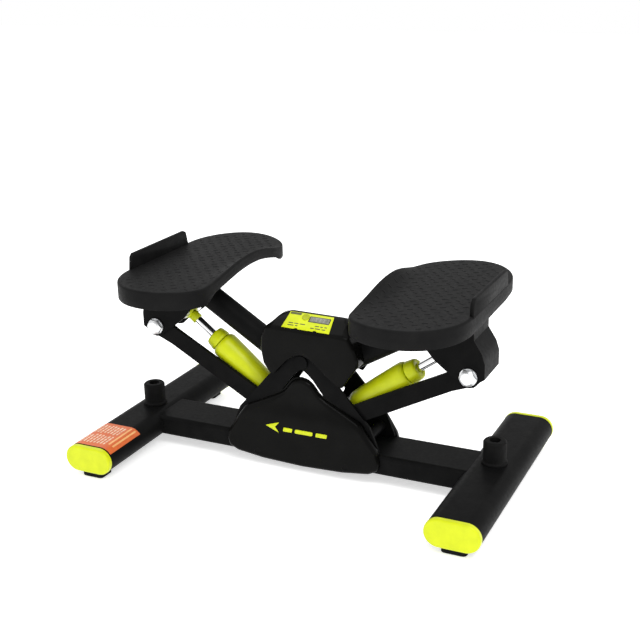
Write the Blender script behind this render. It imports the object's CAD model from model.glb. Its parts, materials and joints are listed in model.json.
import json
import math
import random

import bmesh
import bpy
import numpy as np
from mathutils import Matrix, Vector


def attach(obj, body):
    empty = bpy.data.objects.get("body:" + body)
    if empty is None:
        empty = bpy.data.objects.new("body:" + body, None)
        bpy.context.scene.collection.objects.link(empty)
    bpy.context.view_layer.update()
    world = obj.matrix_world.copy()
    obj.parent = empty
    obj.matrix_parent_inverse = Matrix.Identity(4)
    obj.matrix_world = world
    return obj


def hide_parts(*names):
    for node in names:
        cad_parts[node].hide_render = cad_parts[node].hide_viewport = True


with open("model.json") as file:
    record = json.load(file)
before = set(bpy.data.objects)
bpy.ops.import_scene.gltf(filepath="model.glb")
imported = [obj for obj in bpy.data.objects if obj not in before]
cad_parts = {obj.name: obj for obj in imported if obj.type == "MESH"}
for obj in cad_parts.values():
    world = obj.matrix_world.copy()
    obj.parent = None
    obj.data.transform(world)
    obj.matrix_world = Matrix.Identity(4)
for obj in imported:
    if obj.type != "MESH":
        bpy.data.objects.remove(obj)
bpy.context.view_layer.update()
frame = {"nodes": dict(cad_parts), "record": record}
NODES = frame["nodes"]

MM = 0.001
TILT = 1.2237                       # rocker angle at rest, degrees about +Y
ARM_PIVOT = (36.0, 70.0)            # X, Z of the right arm and cylinder pivot
ROCKER_PIVOT = (0.0, 135.0)
ARM_DX, ARM_DZ = 159.2, 80.1        # arm pivot to pedal pivot, level pose
EYE_DX, EYE_DZ = -31.0, 15.7        # pedal pivot to rod eye
TREAD_Z = 227.5                     # top of a footplate
TREAD_INNER_X = 85.0                # inner edge of the right footplate
TREAD_SPINE_X = 147.0               # middle line of the right footplate
TREAD_WALL, TREAD_THICK = 2.8, 4.2  # its side wall and its top
GUARD_FOOT_Z, GUARD_TOP_Z = 224.0, 245.4
FOOT_X, FOOT_Z, FOOT_H, FOOT_W = 220.6, 24.0, 31.0, 60.0
REAR_COVER_TOP = 66.0
COVER_Y = 36.5                      # face of a cover from the middle plane, at its foot
COVER_BACK_Y = 26.3                 # open edge of a cover
COVER_R = 5.0                       # rounding round the face of a cover
COVER_SCREW_X, COVER_SCREW_Z = 56.0, 18.5
HEAD_HALF = 33.0                    # half depth of the head housing
HEAD_R = 4.5                        # rounding round its front and rear face
HEAD_WRAP_Z = 138.5                 # the skin wraps round the outline only above this height
TUBE_OPENING = 18.5                 # half depth of the opening for the upper tubes
EAVE_Z, ROOF_Z, ROOF_Y = 174.5, 190.5, 8.0
EAVE_REAR_Z = 170.0
LABEL_X = 7.0                       # middle of the display label
LABEL_LIFT = 0.62                   # top of the label film above the roof plane
BUTTON_X, BUTTON_S = -6.0, 20.4     # button on the label, along and up the slope
FILM_LIFT, PRINT_LIFT = 0.42, 0.47  # sticker film and its printing above the foot tube


# ---------------------------------------------------------------- placing pieces
def arm_end(side):
    """X and Z from the arm pivot to the pedal pivot at rest."""
    sign = 1 if side == "right" else -1
    length = math.hypot(ARM_DX, ARM_DZ)
    angle = math.atan2(ARM_DZ, ARM_DX) - sign * math.radians(TILT)
    return length * math.cos(angle), length * math.sin(angle)


def rest_matrix(kind, side="right"):
    """Row-frame matrix that takes a right-hand, level-pose piece to its rest place (millimetres)."""
    reach, rise = arm_end(side)
    flip = Matrix.Identity(4) if side == "right" else Matrix.Scale(-1, 4, Vector((1, 0, 0)))
    if kind == "base":
        return flip
    if kind == "rocker":
        pivot = Matrix.Translation((ROCKER_PIVOT[0], 0, ROCKER_PIVOT[1]))
        return pivot @ Matrix.Rotation(math.radians(TILT), 4, "Y") @ pivot.inverted() @ flip
    if kind == "pedal":
        return flip @ Matrix.Translation((reach - ARM_DX, 0, rise - ARM_DZ))
    if kind == "strut":
        turn = Matrix.Rotation(-math.atan2(rise + EYE_DZ, reach + EYE_DX), 4, "Y")
        return flip @ Matrix.Translation((ARM_PIVOT[0], 0, ARM_PIVOT[1])) @ turn
    raise ValueError(kind)


def strut_length(side):
    """Distance from the cylinder's pivot to its rod eye at rest."""
    reach, rise = arm_end(side)
    return math.hypot(reach + EYE_DX, rise + EYE_DZ)


def add_mesh(name, verts, faces, matrix, material, body, smooth=True):
    """New piece from millimetre coordinates, riding on a CAD body."""
    me = bpy.data.meshes.new(name)
    pts = [(matrix @ Vector(v)) * MM for v in verts]
    me.from_pydata(pts, [], faces)
    bm = bmesh.new()
    bm.from_mesh(me)
    bmesh.ops.remove_doubles(bm, verts=bm.verts, dist=1e-6)
    bmesh.ops.recalc_face_normals(bm, faces=bm.faces)
    face_outwards(bm)
    bm.to_mesh(me)
    bm.free()
    me.polygons.foreach_set("use_smooth", [smooth] * len(me.polygons))
    me.materials.append(material)
    ob = bpy.data.objects.new(name, me)
    bpy.context.scene.collection.objects.link(ob)
    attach(ob, body)
    return ob


def face_outwards(bm):
    """Turn the faces of an open shell so that they look away from its middle."""
    middle = sum((v.co for v in bm.verts), Vector()) / len(bm.verts)
    side = sum((f.calc_center_median() - middle).dot(f.normal) * f.calc_area() for f in bm.faces)
    if side < 0:
        bmesh.ops.reverse_faces(bm, faces=bm.faces)


def bevel(ob, width, segments=3, angle=32.0, harden=True):
    """Rounded edges, width in millimetres."""
    m = ob.modifiers.new("edge", "BEVEL")
    m.width = width * MM
    m.segments = segments
    m.limit_method = "ANGLE"
    m.angle_limit = math.radians(angle)
    m.harden_normals = harden
    m.use_clamp_overlap = True
    return ob


def catmull(points, per, closed=True):
    """Points along a smooth centripetal curve through the given ones."""
    n = len(points)
    pts = [np.array(p, float) for p in points]
    out = []
    spans = n if closed else n - 1
    for i in range(spans):
        p0 = pts[(i - 1) % n] if closed or i > 0 else 2 * pts[0] - pts[1]
        p1, p2 = pts[i], pts[(i + 1) % n]
        p3 = pts[(i + 2) % n] if closed or i + 2 < n else 2 * pts[-1] - pts[-2]
        d1, d2, d3 = (max(np.linalg.norm(b - a), 1e-6) ** 0.5 for a, b in ((p0, p1), (p1, p2), (p2, p3)))
        m1 = (p2 - p1) + d2 * ((p1 - p0) / d1 - (p2 - p0) / (d1 + d2))
        m2 = (p2 - p1) + d2 * ((p3 - p2) / d3 - (p3 - p1) / (d2 + d3))
        for k in range(per):
            t = k / per
            out.append((2 * t**3 - 3 * t**2 + 1) * p1 + (t**3 - 2 * t**2 + t) * m1
                       + (3 * t**2 - 2 * t**3) * p2 + (t**3 - t**2) * m2)
    if not closed:
        out.append(pts[-1])
    return out


def resample(points, count):
    """Closed polyline resampled to an even spacing."""
    p = np.array(points)
    q = np.vstack([p, p[:1]])
    d = np.r_[0, np.cumsum(np.linalg.norm(np.diff(q, axis=0), axis=1))]
    t = np.linspace(0, d[-1], count, endpoint=False)
    return np.stack([np.interp(t, d, q[:, k]) for k in range(q.shape[1])], 1)


def round_corners(points, radius, steps=6, closed=True):
    """Polyline with its corners rounded; radius is one number or one per point."""
    out = []
    n = len(points)
    for i, b in enumerate(points):
        b = np.array(b, float)
        r = radius[i] if isinstance(radius, (list, tuple)) else radius
        if not closed and i in (0, n - 1) or r <= 0:
            out.append(b)
            continue
        a, c = np.array(points[i - 1], float), np.array(points[(i + 1) % n], float)
        la, lc = np.linalg.norm(a - b), np.linalg.norm(c - b)
        u, w = (a - b) / la, (c - b) / lc
        half = math.acos(max(-1, min(1, float(u @ w)))) / 2
        if half > 1.55:
            out.append(b)
            continue
        reach = min(r / math.tan(half), 0.48 * la, 0.48 * lc)
        for k in range(steps + 1):
            t = k / steps
            out.append((1 - t) ** 2 * (b + u * reach) + 2 * t * (1 - t) * b + t**2 * (b + w * reach))
    return out


def offset_loop(points, inset):
    """Closed 2-D loop moved inwards by the inset (per point or one number)."""
    p = np.array(points, float)
    tangent = np.roll(p, -1, 0) - np.roll(p, 1, 0)
    tangent /= np.linalg.norm(tangent, axis=1)[:, None] + 1e-12
    normal = np.stack([-tangent[:, 1], tangent[:, 0]], 1)
    area = 0.5 * np.sum(p[:, 0] * np.roll(p[:, 1], -1) - np.roll(p[:, 0], -1) * p[:, 1])
    if area < 0:
        normal = -normal
    return p + normal * (np.array(inset).reshape(-1, 1) if np.ndim(inset) else inset)


def loops_to_faces(count_loops, n, closed_ends=(False, False), start=0):
    """Faces between successive loops of n vertices, with the ends closed as asked."""
    faces = []
    for j in range(count_loops - 1):
        for i in range(n):
            a = start + j * n + i
            b = start + j * n + (i + 1) % n
            faces.append((a, b, b + n, a + n))
    if closed_ends[0]:
        faces.append(tuple(start + i for i in range(n)))
    if closed_ends[1]:
        faces.append(tuple(start + (count_loops - 1) * n + i for i in range(n)))
    return faces


def smin(a, b, k):
    """Smooth minimum; k is the blending length."""
    h = np.clip(0.5 + 0.5 * (b - a) / k, 0, 1)
    return b * (1 - h) + a * h - k * h * (1 - h)


def smoothstep(a, b, x):
    """0 at a, 1 at b, with soft ends."""
    t = np.clip((np.asarray(x, float) - a) / (b - a), 0, 1)
    return t * t * (3 - 2 * t)


# ---------------------------------------------------------------- materials
class Shader:
    """Small helper that wires a Principled material from row-frame coordinates."""

    def __init__(self, name):
        self.mat = bpy.data.materials.new(name)
        self.mat.use_nodes = True
        self.tree = self.mat.node_tree
        self.tree.nodes.clear()
        self.out = self.node("ShaderNodeOutputMaterial")
        self.bsdf = self.node("ShaderNodeBsdfPrincipled")
        self.link(self.bsdf.outputs[0], self.out.inputs[0])
        self.coord = self.node("ShaderNodeTexCoord").outputs["Object"]

    def node(self, kind, **props):
        nd = self.tree.nodes.new(kind)
        for key, value in props.items():
            setattr(nd, key, value)
        return nd

    def link(self, a, b):
        self.tree.links.new(a, b)

    def set(self, **values):
        for key, value in values.items():
            self.bsdf.inputs[key.replace("_", " ")].default_value = value

    def noise(self, scale, detail=3.0, roughness=0.55, stretch=None):
        source = self.coord
        if stretch is not None:
            mp = self.node("ShaderNodeMapping")
            self.link(source, mp.inputs["Vector"])
            mp.inputs["Scale"].default_value = stretch
            source = mp.outputs[0]
        nd = self.node("ShaderNodeTexNoise")
        self.link(source, nd.inputs["Vector"])
        nd.inputs["Scale"].default_value = scale
        nd.inputs["Detail"].default_value = detail
        nd.inputs["Roughness"].default_value = roughness
        return nd.outputs["Fac"]

    def cells(self, scale, feature="F1"):
        nd = self.node("ShaderNodeTexVoronoi", feature=feature)
        self.link(self.coord, nd.inputs["Vector"])
        nd.inputs["Scale"].default_value = scale
        return nd.outputs["Distance"]

    def span(self, fac, lo, hi, a=0.3, b=0.7):
        nd = self.node("ShaderNodeMapRange")
        self.link(fac, nd.inputs["Value"])
        nd.inputs["From Min"].default_value = a
        nd.inputs["From Max"].default_value = b
        nd.inputs["To Min"].default_value = lo
        nd.inputs["To Max"].default_value = hi
        return nd.outputs[0]

    def mix(self, fac, c1, c2):
        nd = self.node("ShaderNodeMix", data_type="RGBA")
        self.link(fac, nd.inputs[0])
        for socket, value in ((nd.inputs[6], c1), (nd.inputs[7], c2)):
            if isinstance(value, tuple):
                socket.default_value = (*value, 1.0)
            else:
                self.link(value, socket)
        return nd.outputs[2]

    def bump(self, fac, distance, strength=1.0, chain=None):
        nd = self.node("ShaderNodeBump")
        self.link(fac, nd.inputs["Height"])
        nd.inputs["Distance"].default_value = distance * MM
        nd.inputs["Strength"].default_value = strength
        if chain is not None:
            self.link(chain, nd.inputs["Normal"])
        return nd.outputs[0]

    def color(self, socket):
        self.link(socket, self.bsdf.inputs["Base Color"])

    def roughness(self, socket):
        self.link(socket, self.bsdf.inputs["Roughness"])

    def normal(self, socket):
        self.link(socket, self.bsdf.inputs["Normal"])


def powder_coat():
    s = Shader("powder_coat")
    s.color(s.mix(s.span(s.noise(60), 0, 1), (0.0044, 0.0045, 0.0046), (0.0066, 0.0066, 0.0066)))
    s.roughness(s.span(s.noise(240, 4), 0.36, 0.50))
    peel = s.bump(s.noise(900, 2), 0.05, 0.5)
    s.normal(s.bump(s.cells(2600), 0.02, 0.35, peel))
    s.set(Specular_IOR_Level=0.025)
    return s.mat


def gloss_black():
    s = Shader("gloss_black")
    s.color(s.mix(s.span(s.noise(35), 0, 1), (0.0030, 0.0030, 0.0027), (0.0046, 0.0046, 0.0043)))
    fine = s.noise(420, 5)
    s.roughness(s.span(fine, 0.14, 0.22))
    s.normal(s.bump(s.noise(1500, 2), 0.010, 0.35))
    s.set(Specular_IOR_Level=0.05)
    return s.mat


def tread_black():
    s = Shader("tread_black")
    s.color(s.mix(s.span(s.noise(45), 0, 1), (0.0070, 0.0070, 0.0072), (0.0100, 0.0100, 0.0099)))
    s.roughness(s.span(s.noise(300, 4), 0.44, 0.58))
    leather = s.bump(s.cells(1500), 0.07, 0.5)
    s.normal(s.bump(s.noise(3200, 2), 0.03, 0.4, leather))
    s.set(Specular_IOR_Level=0.03)
    return s.mat


def lime(name="lime", dark=0.0):
    s = Shader(name)
    a, b = (0.520, 0.590, 0.004), (0.600, 0.665, 0.007)
    if dark:
        a, b = tuple(v * dark for v in a), tuple(v * dark for v in b)
    s.color(s.mix(s.span(s.noise(70), 0, 1), a, b))
    s.roughness(s.span(s.noise(350, 4), 0.28, 0.40))
    s.normal(s.bump(s.noise(1100, 2), 0.02, 0.3))
    s.set(Specular_IOR_Level=0.26, Subsurface_Weight=0.04)
    s.bsdf.inputs["Subsurface Radius"].default_value = (0.002, 0.002, 0.0004)
    return s.mat


def rubber():
    s = Shader("rubber_black")
    s.color(s.mix(s.span(s.noise(90), 0, 1), (0.0045, 0.0045, 0.0045), (0.0070, 0.0069, 0.0068)))
    s.roughness(s.span(s.noise(260, 4), 0.58, 0.74))
    s.normal(s.bump(s.noise(1800, 3), 0.05, 0.5))
    s.set(Specular_IOR_Level=0.06)
    return s.mat


def zinc():
    s = Shader("zinc")
    s.color(s.mix(s.span(s.noise(300, 4), 0, 1), (0.70, 0.71, 0.72), (0.86, 0.87, 0.88)))
    s.roughness(s.span(s.noise(900, 4), 0.38, 0.52))
    s.normal(s.bump(s.noise(2500, 3), 0.015, 0.4))
    s.set(Metallic=1.0)
    return s.mat


def dark_steel():
    s = Shader("dark_steel")
    s.color(s.mix(s.span(s.noise(260, 4), 0, 1), (0.09, 0.09, 0.095), (0.17, 0.17, 0.175)))
    s.roughness(s.span(s.noise(900, 4), 0.30, 0.48))
    s.normal(s.bump(s.noise(2500, 3), 0.015, 0.4))
    s.set(Metallic=1.0)
    return s.mat


def chrome():
    s = Shader("chrome_rod")
    s.color(s.mix(s.span(s.noise(120), 0, 1), (0.80, 0.81, 0.82), (0.90, 0.90, 0.91)))
    s.roughness(s.span(s.noise(700, 4, stretch=(1, 8, 1)), 0.06, 0.13))
    s.normal(s.bump(s.noise(2600, 2), 0.004, 0.4))
    s.set(Metallic=1.0)
    return s.mat


def nylon():
    s = Shader("nylon")
    s.color(s.mix(s.span(s.noise(200), 0, 1), (0.58, 0.57, 0.52), (0.70, 0.69, 0.64)))
    s.roughness(s.span(s.noise(500), 0.40, 0.55))
    s.normal(s.bump(s.noise(1500), 0.02, 0.3))
    return s.mat


def printed(name, c1, c2, rough=(0.35, 0.48)):
    """Thin printed film: two close tones and a faint paper-like grain."""
    s = Shader(name)
    s.color(s.mix(s.span(s.noise(160, 4), 0, 1), c1, c2))
    s.roughness(s.span(s.noise(420, 3), *rough))
    s.normal(s.bump(s.noise(2200, 3), 0.012, 0.3))
    return s.mat


def lens():
    s = Shader("lens")
    s.color(s.mix(s.span(s.noise(130), 0, 1), (0.150, 0.155, 0.115), (0.200, 0.205, 0.155)))
    s.roughness(s.span(s.noise(380, 3), 0.10, 0.18))
    s.normal(s.bump(s.noise(900, 2), 0.004, 0.3))
    s.set(Coat_Weight=0.5, Coat_Roughness=0.06)
    return s.mat


MATERIALS = {
    "powder_coat": powder_coat(),
    "gloss_black": gloss_black(),
    "tread_black": tread_black(),
    "lime": lime(),
    "rubber_black": rubber(),
    "zinc": zinc(),
    "dark_steel": dark_steel(),
    "chrome_rod": chrome(),
    "nylon": nylon(),
    "sticker_orange": printed("sticker_orange", (0.56, 0.095, 0.012), (0.66, 0.135, 0.022)),
    "lens": lens(),
    "board_green": printed("board_green", (0.010, 0.085, 0.030), (0.020, 0.120, 0.045)),
}
INK = printed("ink_black", (0.012, 0.012, 0.010), (0.024, 0.024, 0.018), (0.4, 0.5))
WHITE = printed("print_white", (0.68, 0.50, 0.34), (0.80, 0.66, 0.50))
STRIPE = printed("print_stripe", (0.74, 0.36, 0.12), (0.82, 0.46, 0.18))
LCD_MARK = printed("lcd_mark", (0.030, 0.032, 0.022), (0.045, 0.048, 0.034))

slot_of = {p["node"]: p["material_slot"] for p in frame["record"]["subparts"]}
EDGE = {"main_beam": 0.8, "front_end_caps": 0.6, "rear_end_caps": 0.6, "left_pedal_pins": 0.7,
        "right_pedal_pins": 0.7, "left_lower_arm": 0.8, "right_lower_arm": 0.8,
        "left_pedal_bracket": 0.8, "right_pedal_bracket": 0.8, "cover_mark": 0.1, "foot_sticker": 0.1,
        "display_label": 0.15, "display_lens": 0.1, "display_button": 0.3, "button_spring": 0.0,
        "display_board": 0.0, "foot_pads": 0.6}
for name, ob in NODES.items():
    ob.data.materials.clear()
    ob.data.materials.append(MATERIALS[slot_of[name]])
    ob.data.polygons.foreach_set("use_smooth", [True] * len(ob.data.polygons))
    weld = ob.modifiers.new("weld", "WELD")
    weld.merge_threshold = 0.01 * MM
    width = EDGE.get(name, 0.4)
    if width:
        bevel(ob, width, 2, harden=False)
    even = ob.modifiers.new("even", "WEIGHTED_NORMAL")
    even.keep_sharp = True
    even.weight = 100


# ---------------------------------------------------------------- footplates
TREAD_OUTLINE = [(85, -78), (87.5, -94), (98, -108.5), (121, -120.5), (148, -123.3), (171, -117.5),
                 (189, -104), (200.5, -87), (206.6, -68), (208.2, -44), (208.4, -10), (208.4, 34), (208.2, 70),
                 (205.6, 98), (195, 123), (177, 142), (157, 149.6), (136, 147), (115, 136), (98, 120),
                 (88.6, 103), (85.4, 84), (85, 50), (85, 10), (85, -36)]
ARCH_Y = [-200, -82, -58, -34, -10, 14, 38, 60, 80, 97, 200]
ARCH_H = [0, 0, 3.0, 7.0, 10.8, 12.6, 12.0, 8.4, 3.4, 0, 0]


def arch_height(y):
    """Smooth height of the raised inner edge along the footplate."""
    y = np.asarray(y, float)
    total = np.zeros_like(y)
    for shift, weight in ((-9, 1), (-4.5, 2), (0, 3), (4.5, 2), (9, 1)):
        total = total + weight * np.interp(y + shift, ARCH_Y, ARCH_H)
    return total / 9.0


def tread_top(x, y):
    """Height of the tread: flat, and raised towards the inner edge where the arch is."""
    d = np.asarray(x, float) - TREAD_INNER_X
    share = np.interp(d, [-5, 1.6, 6, 13, 22, 31, 200], [1, 1, 0.72, 0.30, 0.05, 0, 0])
    soft = np.interp(d, [0, 2, 4, 6, 9, 13, 17, 22, 27, 31, 200],
                     [1, 0.985, 0.87, 0.72, 0.51, 0.30, 0.15, 0.05, 0.012, 0, 0])
    return TREAD_Z + arch_height(y) * 0.5 * (share + soft)


def skirt_bottom(x, y):
    """Height of the lower edge of the rim, drawn up along the arch."""
    plain = np.interp(y, [-140, -100, 60, 160], [20.4, 20.0, 17.0, 12.0])
    inner = 12.6 - arch_height(y)
    share = smoothstep(-86, -66, y) * (1 - smoothstep(80, 98, y)) * (1 - smoothstep(88, 104, x))
    return TREAD_Z - (plain * (1 - share) + inner * share)


def build_tread(side):
    """Footplate shell: rim, rounded edge, contoured top and the membrane under it."""
    n = 168
    outline = resample(catmull(TREAD_OUTLINE, 10), n)
    spine = np.stack([np.full(n, TREAD_SPINE_X), np.clip(outline[:, 1], -62, 88)], 1)
    loops = []

    def at(inset):
        return offset_loop(outline, inset)

    def add(xy, z):
        loops.append(np.column_stack([xy, z]))

    bottom = skirt_bottom(outline[:, 0], outline[:, 1])
    top = tread_top(outline[:, 0], outline[:, 1])
    add(at(TREAD_WALL), tread_top(*at(TREAD_WALL).T) - TREAD_THICK)
    add(at(TREAD_WALL), bottom + 0.5)
    add(at(2.3), bottom)
    add(at(0.5), bottom)
    add(at(0.0), bottom + 0.5)
    add(at(0.0), 0.5 * (bottom + top) - 1.0)
    rim = 2.6
    for k in range(7):
        a = math.pi / 2 * k / 6
        ring = at(rim * (1 - math.cos(a)))
        add(ring, top - rim * (1 - math.sin(a)))
    inner = at(rim)
    steps = 22
    for k in range(1, steps):
        t = (k / steps) ** 1.05
        xy = inner * (1 - t) + spine * t
        add(xy, tread_top(*xy.T))
    verts = np.vstack(loops)
    faces = loops_to_faces(len(loops), n, (False, True))
    # underside membrane
    under = []
    for k in range(8):
        t = k / 8.0
        xy = at(TREAD_WALL) * (1 - t) + spine * t
        under.append(np.column_stack([xy, tread_top(*xy.T) - TREAD_THICK]))
    base = len(verts)
    verts = np.vstack([verts] + under)
    faces += loops_to_faces(8, n, (False, True), base)
    ob = add_mesh(side + "_tread", verts.tolist(), faces, rest_matrix("pedal", side),
                  MATERIALS["tread_black"], side + "_pedal")
    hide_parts(side + "_footplate")


def build_guard(side):
    """Upright guard along the outer edge of the footplate."""
    line = round_corners([(-54, GUARD_FOOT_Z), (-52.5, 241.5), (-48.5, GUARD_TOP_Z), (62, GUARD_TOP_Z),
                          (66.5, 243.0), (70, 229.0), (70, GUARD_FOOT_Z)], [0, 3, 3, 4, 3, 2, 0], 5)
    n = len(line)
    rings = []
    for x, inset in ((208.1, 0.9), (207.6, 0.2), (207.0, 0.0), (204.9, 0.0), (204.3, 0.2), (203.7, 0.9)):
        rings.append(np.column_stack([np.full(n, x), offset_loop(line, inset)]))
    ob = add_mesh(side + "_guard", np.vstack(rings).tolist(), loops_to_faces(len(rings), n, (True, True)),
                  rest_matrix("pedal", side), MATERIALS["tread_black"], side + "_pedal")
    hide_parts(side + "_side_guard")


def build_ribs(side):
    """Stiffening ribs and the two bracket pads under the tread."""
    top, bottom, pad_bottom = TREAD_Z - 3.9, TREAD_Z - 10.5, TREAD_Z - 6.4
    ribs = []
    for y in (-96, -70, 60, 88, 116):
        reach = 52 if abs(y) < 90 else 40
        ribs.append((118, TREAD_SPINE_X + reach, y - 1.2, y + 1.2))
    for x in (126, 168):
        ribs.append((x - 1.2, x + 1.2, -104, -46))
        ribs.append((x - 1.2, x + 1.2, 46, 124))
    verts, faces = [], []
    for x0, x1, y0, y1 in ribs:
        add_block(verts, faces, x0, x1, y0, y1, bottom, top)
    for sy in (-1, 1):
        y0, y1 = sorted((sy * 27.1, sy * 42.0))
        add_block(verts, faces, 134, 196, y0, y1, pad_bottom, top)
    bevel(add_mesh(side + "_tread_ribs", verts, faces, rest_matrix("pedal", side),
                   MATERIALS["tread_black"], side + "_pedal"), 0.3, 2)


def add_block(verts, faces, x0, x1, y0, y1, z0, z1):
    """Append one box."""
    k = len(verts)
    verts += [(x0, y0, z0), (x1, y0, z0), (x1, y1, z0), (x0, y1, z0),
              (x0, y0, z1), (x1, y0, z1), (x1, y1, z1), (x0, y1, z1)]
    faces += [(k, k + 3, k + 2, k + 1), (k + 4, k + 5, k + 6, k + 7), (k, k + 1, k + 5, k + 4),
              (k + 1, k + 2, k + 6, k + 5), (k + 2, k + 3, k + 7, k + 6), (k + 3, k, k + 4, k + 7)]


def build_grip(side):
    """Raised anti-slip dashes in a staggered weave over the tread."""
    pitch, row_pitch, lean, margin = 14.6, 9.0, 32, 8.5
    outline = np.array(catmull(TREAD_OUTLINE, 6))
    verts, faces = [], []
    row = 0
    y = -108.0
    while y < 138:
        x = 96.0 + (pitch / 2 if row % 2 else 0)
        col = 0
        while x < 202:
            turn = math.radians(lean if (row + col) % 2 else -lean)
            gap = np.min(np.hypot(outline[:, 0] - x, outline[:, 1] - y))
            beside_guard = x > 197 and -60 < y < 90
            if gap > margin and not beside_guard and inside(outline, x, y):
                add_dash(verts, faces, x, y, turn)
            x += pitch
            col += 1
        y += row_pitch
        row += 1
    add_mesh(side + "_grip_dashes", verts, faces, rest_matrix("pedal", side), MATERIALS["tread_black"],
             side + "_pedal")


def inside(loop, x, y):
    """Whether the point lies in the closed loop."""
    odd = False
    for (x0, y0), (x1, y1) in zip(loop, np.roll(loop, -1, 0)):
        if (y0 > y) != (y1 > y) and x < (x1 - x0) * (y - y0) / (y1 - y0) + x0:
            odd = not odd
    return odd


def add_dash(verts, faces, x, y, turn, half=3.4, wide=1.0, tall=0.30):
    """Append one raised dash with round ends, turned about Z and laid on the tread."""
    ring = 12
    c, s = math.cos(turn), math.sin(turn)
    k = len(verts)
    for scale, lift in ((1.0, -0.15), (0.93, tall * 0.62), (0.66, tall)):
        for i in range(ring):
            a = 2 * math.pi * i / ring
            end = 1 if math.cos(a) >= 0 else -1
            u = (half - wide) * end * (1 - 0.1 * (1 - scale)) + wide * scale * math.cos(a)
            v = wide * scale * math.sin(a)
            px, py = x + c * u - s * v, y + s * u + c * v
            verts.append((px, py, float(tread_top(px, py)) + lift))
    for j in range(2):
        for i in range(ring):
            a, b = k + j * ring + i, k + j * ring + (i + 1) % ring
            faces.append((a, b, b + ring, a + ring))
    faces.append(tuple(k + 2 * ring + i for i in range(ring)))


# ---------------------------------------------------------------- head housing
def roof_height(y):
    """Outer height of the roof across the head, with a rounded front and rear edge."""
    y = float(y)
    front = EAVE_Z + (ROOF_Z - EAVE_Z) / (HEAD_HALF - ROOF_Y) * (HEAD_HALF + y)
    rear = EAVE_REAR_Z + (ROOF_Z - EAVE_REAR_Z) / (HEAD_HALF + ROOF_Y) * (HEAD_HALF - y)
    ridge = float(smin(front, rear, 3.0))
    eave = EAVE_Z if y < 0 else EAVE_REAR_Z
    tilt = math.atan2(ROOF_Z - eave, HEAD_HALF - ROOF_Y if y < 0 else HEAD_HALF + ROOF_Y)
    # circle tangent to the vertical face and to the slope
    r = 6.0
    reach = r * math.tan((math.pi / 2 - tilt) / 2)
    depth = HEAD_HALF - abs(y)
    if depth < reach * math.cos(tilt):
        return eave - reach + math.sqrt(max(r * r - (r - depth) ** 2, 0.0))
    return ridge


# outline of the housing seen from the front: X, Z, corner radius, and whether the skin wraps round there
HEAD_LINE = [(-20.0, 190.5, 10, 1), (45.0, 190.5, 8, 1), (51.0, 184.5, 10, 1), (59.5, 174.0, 14, 1),
             (67.0, 161.0, 14, 1), (71.3, 149.0, 10, 1), (70.6, 141.0, 4, 1), (52.5, 113.8, 2.4, 0),
             (46.5, 115.4, 3, 0), (34.5, 124.0, 8, 0), (26.3, 131.0, 8, 0), (14.0, 141.4, 10, 0),
             (2.0, 145.6, 10, 0), (-8.0, 142.4, 8, 0), (-16.5, 135.4, 8, 0), (-25.0, 126.0, 8, 0),
             (-32.0, 117.6, 2.4, 0), (-37.6, 117.6, 2.4, 0), (-45.6, 129.0, 10, 0), (-50.0, 144.0, 12, 1),
             (-49.6, 160.0, 12, 1), (-44.0, 173.0, 14, 1), (-33.0, 184.0, 12, 1)]


def build_head():
    """Hollow housing: two faces with rounded edges, joined by the roof and side walls."""
    corners = [(x, z) for x, z, _, _ in HEAD_LINE]
    raw = np.array(round_corners(corners, [row[2] for row in HEAD_LINE], 7))
    n = len(raw)
    near = [int(np.argmin([np.hypot(x - p[0], z - p[1]) for x, z, _, _ in HEAD_LINE])) for p in raw]
    wraps = np.array([HEAD_LINE[k][3] == 1 for k in near]) & (raw[:, 1] > HEAD_WRAP_Z)
    # the side walls reach down the outer edge of the right leg, beside the opening for the tubes
    legs = (raw[:, 0] > 53.0) & (raw[:, 1] > 115.6)
    arc, across = 6, 30
    half = []
    for k in range(arc + 1):
        a = math.pi / 2 * k / arc
        half.append((-HEAD_HALF + HEAD_R * (1 - math.cos(a)), HEAD_R * (1 - math.sin(a))))
    middle = [-(HEAD_HALF - HEAD_R) + (HEAD_HALF - HEAD_R) * 2 * k / across for k in range(1, across)]
    layers = half + [(y, 0.0) for y in middle] + [(-y, inset) for y, inset in reversed(half)]
    rings = []
    for y, inset in layers:
        # the arch keeps only a small edge rounding
        ring = offset_loop(raw, np.where(wraps, inset, inset * 0.3))
        top = smin(ring[:, 1], np.full(n, roof_height(y)), 4.5)
        z = np.where(ring[:, 1] > 158, top, ring[:, 1])
        rings.append(np.column_stack([ring[:, 0], np.full(n, y), z]))
    faces = []
    last = len(layers) - 1
    for j in range(last):
        edge_zone = j < arc or j >= last - arc
        for i in range(n):
            k = (i + 1) % n
            beside = legs[i] and legs[k] and abs(layers[j][0] + layers[j + 1][0]) / 2 > TUBE_OPENING
            if not edge_zone and not (wraps[i] and wraps[k]) and not beside:
                continue
            a, b = j * n + i, j * n + (i + 1) % n
            faces.append((a, b, b + n, a + n))
    faces.append(tuple(range(n)))
    faces.append(tuple(last * n + i for i in range(n)))
    ob = add_mesh("head_housing", np.vstack(rings).tolist(), faces, rest_matrix("rocker"),
                  MATERIALS["gloss_black"], "rocker")
    wall = ob.modifiers.new("wall", "SOLIDIFY")
    wall.thickness = 2.3 * MM
    wall.offset = -1
    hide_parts("head_shell_front", "head_shell_rear")


def on_roof(x, s, lift):
    """Row-frame point (before the rest tilt) on the front roof slope; s runs up the slope."""
    tilt = math.atan2(ROOF_Z - EAVE_Z, HEAD_HALF - ROOF_Y)
    return (LABEL_X + x, -HEAD_HALF + s * math.cos(tilt) - lift * math.sin(tilt),
            EAVE_Z + s * math.sin(tilt) + lift * math.cos(tilt))


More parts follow.
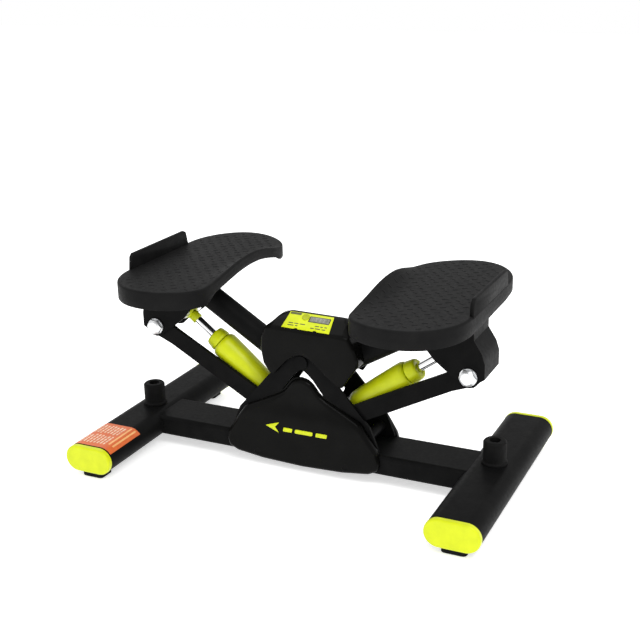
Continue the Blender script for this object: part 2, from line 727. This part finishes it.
def roof_patch(name, outline, lift, thick, material):
    """Thin film on the roof slope from an outline in (x, s)."""
    n = len(outline)
    loops = []
    centre = (np.min(outline, 0) + np.max(outline, 0)) / 2
    for scale, up in ((1.0, lift - thick), (1.0, lift - 0.12), (0.992, lift), (0.6, lift), (0.2, lift)):
        ring = centre + (np.array(outline) - centre) * scale
        loops += [on_roof(x, s, up) for x, s in ring]
    faces = loops_to_faces(5, n, (True, True))
    return add_mesh(name, loops, faces, rest_matrix("rocker"), material, "rocker")


def rectangle(x0, x1, s0, s1, radius, steps):
    """Outline of a rectangle with rounded corners."""
    return round_corners([(x0, s0), (x1, s0), (x1, s1), (x0, s1)], radius, steps)


def build_label():
    """Lime label with its display window, figures and printed marks."""
    s0, s1 = 2.4, 26.0
    line = [(-29.5, s0), (-14.5, s0), (-12.5, s0 + 1.3), (-10.5, s0 + 1.3), (-9.0, s0), (9.0, s0),
            (10.5, s0 + 1.3), (12.5, s0 + 1.3), (14.5, s0), (29.5, s0), (28.2, s0 + 12), (27.0, s1), (-27.0, s1),
            (-28.2, s0 + 12)]
    fine = []
    for a, b in zip(line, line[1:] + line[:1]):
        for k in range(4):
            fine.append((a[0] + (b[0] - a[0]) * k / 4, a[1] + (b[1] - a[1]) * k / 4))
    label = roof_patch("label_film", fine, LABEL_LIFT, 0.5, MATERIALS["lime"])
    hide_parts("display_label")
    window = rectangle(0.0, 24.0, 15.2, 21.9, 0.8, 4)
    frame_line = rectangle(-1.2, 25.0, 14.4, 22.8, 1.2, 4)
    roof_patch("lcd_frame", frame_line, 0.70, 0.3, INK)
    glass = roof_patch("lcd_glass", window, 0.84, 0.3, MATERIALS["lens"])
    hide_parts("display_lens")
    verts, faces = [], []
    for k in range(4):
        add_digit(verts, faces, 4.4 + 4.8 * k, 16.4, 2.6, 4.2)
    add_mesh("lcd_segments", verts, faces, rest_matrix("rocker"), LCD_MARK, "rocker", smooth=False)
    # printed marks: plain rounded bars that stand in for the lettering
    bars = [(-23.5, 9.4, 6.0), (-16.0, 9.4, 5.0), (-9.2, 9.4, 6.4), (-23.5, 6.2, 7.6), (-14.0, 6.2, 3.0),
            (9.5, 9.4, 5.0), (16.0, 9.4, 3.4), (21.0, 9.4, 3.4), (5.0, 6.0, 4.4), (11.0, 6.0, 6.0),
            (19.0, 6.0, 4.4)]
    for k, (x, s, w) in enumerate(bars):
        bar = rectangle(x, x + w, s, s + 1.15, 0.5, 3)
        roof_patch("label_bar_%02d" % k, bar, 0.68, 0.2, INK)
    patch = round_corners([(-26.4, 22.2), (-12.4, 22.2), (-12.2, 25.4), (-25.8, 25.4)], 1.0, 4)
    roof_patch("label_patch", patch, 0.68, 0.2, printed("patch_green", (0.05, 0.06, 0.012), (0.09, 0.10, 0.02)))


def add_digit(verts, faces, x, s, w, h):
    """Blank seven-segment figure, all segments shown."""
    t = 0.42
    spans = [(x + t, s, x + w - t, s + t), (x + t, s + h / 2 - t / 2, x + w - t, s + h / 2 + t / 2),
             (x + t, s + h - t, x + w - t, s + h), (x, s + t, x + t, s + h / 2 - t / 2),
             (x + w - t, s + t, x + w, s + h / 2 - t / 2), (x, s + h / 2 + t / 2, x + t, s + h - t),
             (x + w - t, s + h / 2 + t / 2, x + w, s + h - t)]
    for x0, s0, x1, s1 in spans:
        k = len(verts)
        verts += [on_roof(u, v, 0.90) for u, v in ((x0, s0), (x1, s0), (x1, s1), (x0, s1))]
        faces.append((k, k + 1, k + 2, k + 3))


def build_button():
    """Shallow dished button."""
    profile = [(0.0, -3.0), (4.5, -3.0), (4.5, 0.9), (4.3, 1.3), (3.8, 1.5), (3.2, 1.48), (2.6, 1.30), (1.4, 1.18),
               (0.0, 1.15)]
    verts = []
    n = 40
    for r, up in profile:
        for i in range(n):
            a = 2 * math.pi * i / n
            verts.append(on_roof(BUTTON_X + max(r, 0.01) * math.cos(a), BUTTON_S + max(r, 0.01) * math.sin(a), up))
    faces = loops_to_faces(len(profile), n, (True, True))
    cap = add_mesh("button_cap", verts, faces, rest_matrix("rocker"), lime("button_lime", 0.62), "display_button")
    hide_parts("display_button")


# ---------------------------------------------------------------- triangular covers
COVER_LOW = [(94.3, 41), (97.8, 28), (95.4, 19.1), (84, 13.1), (50, 8.7), (0, 6.9)]
COVER_LINE = [(0, 115.0), (7.2, 113.6), (12.8, 109.6), (21.6, 98.0), (30, 92.6), (73.2, 72.4)] + COVER_LOW
COVER_LINE_REAR = [(0, REAR_COVER_TOP), (79.3, REAR_COVER_TOP)] + COVER_LOW


def cover_depth(z):
    """Distance of the cover face from the middle plane by height."""
    z = np.asarray(z, float)
    lean = COVER_Y - (COVER_Y - 30.2) * smoothstep(54, 94, z)
    return lean - 1.2 * smoothstep(26, 7, z)


def build_cover(rear):
    """Dished cover with a rounded face edge and two screw recesses."""
    line, radii = COVER_LINE, [4, 8, 8, 8, 8, 10]
    if rear:
        line, radii = COVER_LINE_REAR, [0, 5]
    half = round_corners(line, radii + [10, 8, 8, 10, 14, 0], 7, closed=False)
    loop = [tuple(p) for p in half] + [(-p[0], p[1]) for p in half[-2:0:-1]]
    outline = resample(loop, 180)
    n = len(outline)
    centre = np.stack([np.clip(outline[:, 0], -30, 30), np.full(n, 44.0)], 1)
    r = COVER_R
    rings = [np.column_stack([outline, np.full(n, COVER_BACK_Y)]),
             np.column_stack([outline, 0.5 * (COVER_BACK_Y + cover_depth(outline[:, 1]) - r)])]
    for k in range(8):
        a = math.pi / 2 * k / 7
        ring = offset_loop(outline, r * (1 - math.cos(a)))
        rings.append(np.column_stack([ring, cover_depth(ring[:, 1]) - r * (1 - math.sin(a))]))
    inner = rings[-1][:, :2]
    for k in range(1, 16):
        t = k / 16.0
        xy = inner * (1 - t) + centre * t
        rings.append(np.column_stack([xy, cover_depth(xy[:, 1])]))
    sign = 1 if rear else -1
    verts = [(x, sign * d, z) for ring in rings for x, z, d in ring]
    name = "rear" if rear else "front"
    ob = add_mesh(name + "_cover_panel", verts, loops_to_faces(len(rings), n, (False, True)),
                  rest_matrix("base"), MATERIALS["gloss_black"], "base")
    wall = ob.modifiers.new("wall", "SOLIDIFY")
    wall.thickness = 2.2 * MM
    wall.offset = -1
    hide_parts(name + "_cover")
    # screw recesses as dished rings
    z = COVER_SCREW_Z
    for k, x in enumerate((-COVER_SCREW_X, COVER_SCREW_X)):
        d = float(cover_depth(z))
        profile = [(4.6, 0.02), (4.2, 0.32), (3.5, 0.30), (3.1, -0.5), (2.9, -1.2), (0.01, -1.2)]
        vv = [(x + pr * math.cos(2 * math.pi * i / 32), sign * (d + up), z + pr * math.sin(2 * math.pi * i / 32))
              for pr, up in profile for i in range(32)]
        add_mesh("%s_cover_boss_%d" % (name, k), vv, loops_to_faces(len(profile), 32, (False, True)),
                 rest_matrix("base"), MATERIALS["gloss_black"], "base")


def face_patch(name, outline, lift, material):
    """Thin raised mark on the face of the front cover from an outline in (x, z)."""
    n = len(outline)
    loops = []
    centre = np.mean(np.array(outline), 0)
    for scale, up in ((1.0, -0.2), (1.0, lift * 0.6), (0.985, lift), (0.4, lift)):
        ring = centre + (np.array(outline) - centre) * scale
        loops += [(x, -(float(cover_depth(z)) + up), z) for x, z in ring]
    return add_mesh(name, loops, loops_to_faces(4, n, (False, True)), rest_matrix("base"), material, "base")


def build_mark():
    """Plain arrow and three bars on the front cover."""
    arrow = round_corners([(-44, 54.6), (-25.5, 60.6), (-31.6, 54.2), (-26.2, 47.2)], [0.6, 0.6, 0.4, 0.6], 3)
    ob = face_patch("mark_arrow", arrow, 0.25, MATERIALS["lime"])
    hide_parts("cover_mark")
    low, high, lean = 50.2, 55.2, 1.2
    for k, (x0, x1) in enumerate(((-21.5, -10.0), (-6.5, 16.0), (20.0, 34.0))):
        bar = round_corners([(x0, low), (x1, low), (x1 + lean, high), (x0 + lean, high)], 1.0, 3)
        fine = resample(bar, 32)
        face_patch("mark_bar_%d" % k, fine, 0.25, MATERIALS["lime"])


# ---------------------------------------------------------------- cylinders
def revolve(name, profile, side, kind, material, body, n=64):
    """Solid turned about the cylinder's axis from (distance, radius) pairs."""
    verts = []
    for s, r in profile:
        for i in range(n):
            a = 2 * math.pi * i / n
            verts.append((s, max(r, 0.01) * math.cos(a), max(r, 0.01) * math.sin(a)))
    return add_mesh(name, verts, loops_to_faces(len(profile), n, (True, True)), rest_matrix(kind, side), material,
                    body)


def build_strut(side):
    """Shroud, gland collar and rod eye of one cylinder."""
    eye_ring = 48
    smooth = catmull([(24.2, 11.2), (27.0, 12.8), (36, 13.8), (60, 15.1), (84, 16.0), (95, 16.3), (100.5, 16.0),
                      (103.4, 14.7)], 8, closed=False)
    profile = [(24.0, 9.1)] + [tuple(p) for p in smooth] + [(104.2, 13.4), (104.3, 12.4), (104.0, 9.1)]
    ob = revolve(side + "_shroud", profile, side, "strut", MATERIALS["lime"], side + "_cylinder")
    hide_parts(side + "_cylinder_shroud")
    collar = [(105.0, 9.1), (105.0, 12.6), (105.5, 13.2), (106.4, 13.5), (108.4, 13.5), (109.4, 13.2), (112, 12.9),
              (114.8, 12.5), (116.6, 11.9), (117.6, 11.1), (118.0, 10.0), (118.0, 6.6), (117.2, 6.2), (117.2, 5.2)]
    ob = revolve(side + "_gland_collar", collar, side, "strut", MATERIALS["lime"], side + "_cylinder")
    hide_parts(side + "_cylinder_collar")
    length = strut_length(side)
    eye = [(length - 16.0, 5.1), (length - 16.0, 5.9), (length - 15.4, 6.4), (length - 8.0, 6.4), (length - 5.0, 6.0)]
    ob = revolve(side + "_eye_sleeve", eye, side, "strut", MATERIALS["lime"], side + "_rod", 40)
    ring = [(4.05, -8), (7.0, -8), (7.5, -7.5), (7.5, 7.5), (7.0, 8), (4.05, 8)]
    turns = [2 * math.pi * i / eye_ring for i in range(eye_ring)]
    verts = [(length + r * math.cos(a), y, r * math.sin(a)) for r, y in ring for a in turns]
    last = (len(ring) - 1) * eye_ring
    faces = loops_to_faces(len(ring), eye_ring)
    faces += [(last + i, last + (i + 1) % eye_ring, (i + 1) % eye_ring, i) for i in range(eye_ring)]
    ob2 = add_mesh(side + "_eye_ring", verts, faces, rest_matrix("strut", side), MATERIALS["lime"], side + "_rod")
    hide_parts(side + "_ram_eye")


# ---------------------------------------------------------------- sticker on the left foot
def foot_skin(u, y, lift):
    """Point on the left foot tube: u runs round the tube from the crown, positive towards the main beam."""
    r = FOOT_H / 2 + lift
    flat = (FOOT_W - FOOT_H) / 2
    if abs(u) <= flat:
        return (-FOOT_X + u, y, FOOT_Z + r)
    a = (abs(u) - flat) / (FOOT_H / 2)
    return (-FOOT_X + math.copysign(flat + r * math.sin(a), u), y, FOOT_Z + r * math.cos(a))


def skin_patch(name, u0, u1, y0, y1, lift, material):
    """Film on the left foot tube between u0, u1 round the tube and y0, y1 along it."""
    nu, ny = 25, 9
    verts = []
    for j in range(ny):
        for i in range(nu):
            verts.append(foot_skin(u0 + (u1 - u0) * i / (nu - 1), y0 + (y1 - y0) * j / (ny - 1), lift))
    faces = [(j * nu + i, j * nu + i + 1, (j + 1) * nu + i + 1, (j + 1) * nu + i)
             for j in range(ny - 1) for i in range(nu - 1)]
    return add_mesh(name, verts, faces, Matrix.Identity(4), material, "base")


def build_sticker():
    """Orange film wrapped over the left foot, with plain bars and stripes."""
    ob = skin_patch("sticker_film", -31.0, 29.5, -137.0, -76.5, FILM_LIFT, MATERIALS["sticker_orange"])
    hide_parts("foot_sticker")
    # blocks of short broken lines and two long stripes stand in for the printing
    rng = random.Random(7)
    k = 0
    for u in (-24.0, -19.6, -15.2, -10.8, -6.4, -2.0, 2.4, 6.8, 11.2):
        for y0, y1 in ((-131.0, -107.5), (-103.5, -81.5)):
            y = y0 + rng.uniform(0.0, 3.0)
            while y < y1 - 2.0:
                end = min(y + rng.uniform(2.5, 7.5), y1)
                skin_patch("sticker_bar_%02d" % k, u, u + 1.9, y, end, PRINT_LIFT, WHITE)
                y = end + 1.2
                k += 1
    for u in (17.0, 22.5):
        skin_patch("sticker_stripe_%d" % u, u, u + 2.2, -126.0, -79.5, PRINT_LIFT, STRIPE)


for side in ("left", "right"):
    build_tread(side)
    build_guard(side)
    build_ribs(side)
    build_grip(side)
build_head()
build_label()
build_button()
build_cover(False)
build_cover(True)
build_mark()
for side in ("left", "right"):
    build_strut(side)
build_sticker()


# ---------------------------------------------------------------- stage, light, camera
def studio():
    """Pale floor, white surroundings and three soft lights."""
    me = bpy.data.meshes.new("floor")
    bm = bmesh.new()
    bmesh.ops.create_grid(bm, x_segments=8, y_segments=8, size=6.0)
    bm.to_mesh(me)
    bm.free()
    s = Shader("studio_floor")
    s.color(s.mix(s.span(s.noise(3), 0, 1), (0.88, 0.88, 0.88), (0.92, 0.92, 0.92)))
    s.roughness(s.span(s.noise(9), 0.75, 0.9))
    s.set(Specular_IOR_Level=0.05, Emission_Strength=0.55)
    s.bsdf.inputs["Emission Color"].default_value = (1, 1, 1, 1)
    me.materials.append(s.mat)
    floor = bpy.data.objects.new("floor", me)
    bpy.context.scene.collection.objects.link(floor)
    floor.location = (0, 0, -0.0002)

    world = bpy.data.worlds.new("studio")
    bpy.context.scene.world = world
    world.use_nodes = True
    world.node_tree.nodes["Background"].inputs[0].default_value = (1, 1, 1, 1)
    world.node_tree.nodes["Background"].inputs[1].default_value = 1.0

    def area(name, pos, target, size, power):
        light = bpy.data.lights.new(name, "AREA")
        light.shape = "RECTANGLE"
        light.size, light.size_y = size
        light.energy = power
        ob = bpy.data.objects.new(name, light)
        bpy.context.scene.collection.objects.link(ob)
        ob.location = pos
        ob.rotation_mode = "QUATERNION"
        ob.rotation_quaternion = (Vector(pos) - Vector(target)).to_track_quat("Z", "Y")

    # name, place, aim, size in metres, power in watts
    area("key", (0.55, -0.75, 1.45), (0, 0, 0.12), (0.9, 0.5), 7.0)
    area("edge", (0.95, -0.55, 1.35), (0, 0, 0.15), (0.40, 0.12), 3.5)
    area("top", (-0.4, 0.5, 1.6), (0, 0, 0.15), (1.2, 0.9), 5.0)


def camera():
    """View from the front right and a little above, in metres and degrees."""
    azimuth, elevation, tilt = 25.657, 18.885, -1.2877
    aim, distance, focal = (0.0795327, -0.1407, 0.2322032), 1.0954214, 62.455
    az, el, roll = math.radians(azimuth), math.radians(elevation), math.radians(tilt)
    back = Vector((math.sin(az) * math.cos(el), -math.cos(az) * math.cos(el), math.sin(el)))
    right = (-back).cross(Vector((0, 0, 1))).normalized()
    up = right.cross(-back)
    r = right * math.cos(roll) + up * math.sin(roll)
    u = -right * math.sin(roll) + up * math.cos(roll)
    cam = bpy.data.cameras.new("view")
    cam.sensor_width = 36.0
    cam.lens = focal
    cam.clip_start, cam.clip_end = 0.05, 30
    ob = bpy.data.objects.new("view", cam)
    bpy.context.scene.collection.objects.link(ob)
    ob.location = Vector(aim) + back * distance
    ob.rotation_mode = "QUATERNION"
    ob.rotation_quaternion = Matrix((r, u, back)).transposed().to_quaternion()
    bpy.context.scene.camera = ob


studio()
camera()
bpy.context.scene.view_settings.view_transform = "Standard"
bpy.context.view_layer.update()
